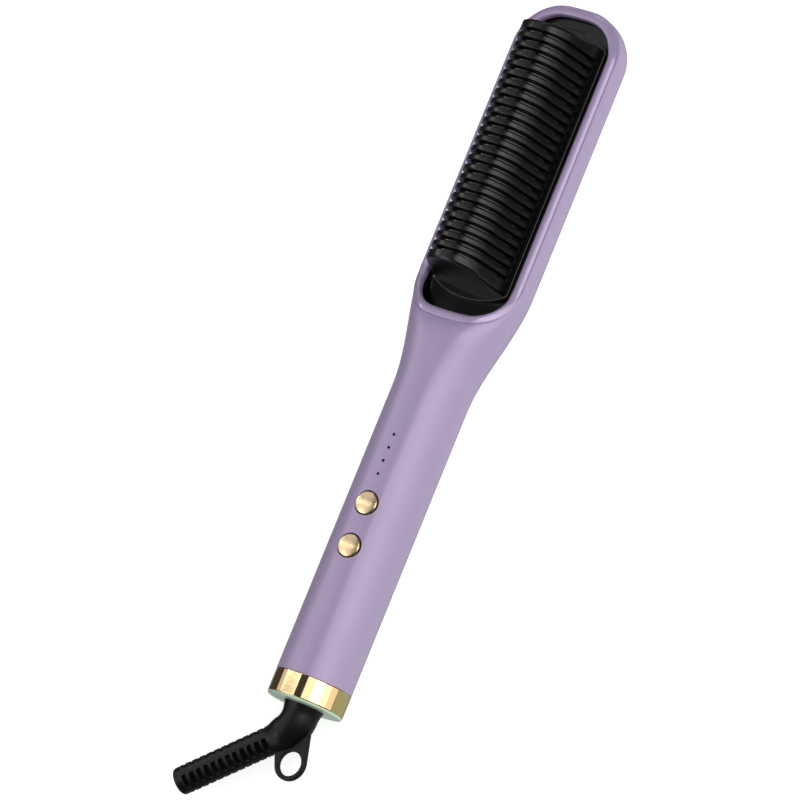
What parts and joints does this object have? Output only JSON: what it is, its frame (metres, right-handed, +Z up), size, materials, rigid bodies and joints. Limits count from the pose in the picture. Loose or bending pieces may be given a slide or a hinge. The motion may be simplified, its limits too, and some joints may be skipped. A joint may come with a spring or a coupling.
{
  "type": "hot comb",
  "caption": "Heated straightening comb: round handle with push buttons, flared head with an arched slotted comb in a lipped recess, and a swivelling bent cord guard with a hanging loop.",
  "frame": {"origin": "centre of the head's flat back, under the middle of the comb", "axes": "+Z up towards the comb, +Y along the handle towards the head, +X to the right with the comb up"},
  "size_m": [0.0671, 0.3393, 0.0469],
  "materials": {
    "lavender_shell": "satin pearl paint on ABS",
    "lavender_trim": "satin pearl paint on ABS",
    "black_gloss": "gloss heat-resistant nylon",
    "coated_aluminium": "black ceramic coat",
    "polyimide": "amber film",
    "heater_ceramic": "fired",
    "copper_alloy": "bright",
    "mica": "sheet",
    "zinc_steel": "zinc plated",
    "gold_plate": "mirror gold plate",
    "black_nylon": "moulded",
    "white_nylon": "moulded",
    "smoked_acrylic": "smoked",
    "lamp_resin": "cast",
    "board_laminate": "solder mask",
    "pale_plastic": "gloss",
    "lead_sleeve": "silicone sleeve",
    "black_rubber": "satin moulded"
  },
  "bodies": {
    "handle": {"front_shell": "lavender_shell", "back_shell": "lavender_shell", "face_trim": "lavender_trim", "recess_tray": "black_gloss", "comb_guard": "black_gloss", "heater_comb": "coated_aluminium", "insulating_film": "polyimide", "ptc_heaters": "heater_ceramic", "electrode_strips": "copper_alloy", "core_insulator": "mica", "thermistor": "heater_ceramic", "thermal_fuse": "zinc_steel", "button_switches": "black_nylon", "button_frame": "white_nylon", "light_guide": "smoked_acrylic", "lamp_chips": "lamp_resin", "control_board": "board_laminate", "capacitor": "lamp_resin", "triac": "black_nylon", "end_ring": "gold_plate", "end_cap": "pale_plastic", "swivel_socket": "white_nylon", "brushes": "copper_alloy", "supply_leads": "lead_sleeve", "heater_leads": "lead_sleeve", "shell_screws": "zinc_steel", "core_screws": "zinc_steel", "board_screws": "zinc_steel"},
    "power_button": {"power_button": "gold_plate", "power_plunger": "black_nylon"},
    "temp_button": {"temp_button": "gold_plate", "temp_plunger": "black_nylon"},
    "swivel": {"cord_guard": "black_rubber", "hanging_loop": "black_rubber", "swivel_core": "black_nylon", "retaining_clip": "zinc_steel", "slip_rings": "copper_alloy"}
  },
  "joints": [
    {"name": "power_press", "type": "slide", "parent": "handle", "child": "power_button", "axis": [0, 0, -1], "range_m": [0, 0.0005], "stiffness_N_per_m": 800, "springref_m": -0.0005},
    {"name": "temp_press", "type": "slide", "parent": "handle", "child": "temp_button", "axis": [0, 0, -1], "range_m": [0, 0.0005], "stiffness_N_per_m": 800, "springref_m": -0.0005},
    {"name": "guard_swivel", "type": "hinge", "parent": "handle", "child": "swivel", "pos_m": [0, -0.2259, 0.0154], "axis": [0, 1, 0], "continuous": true}
  ]
}
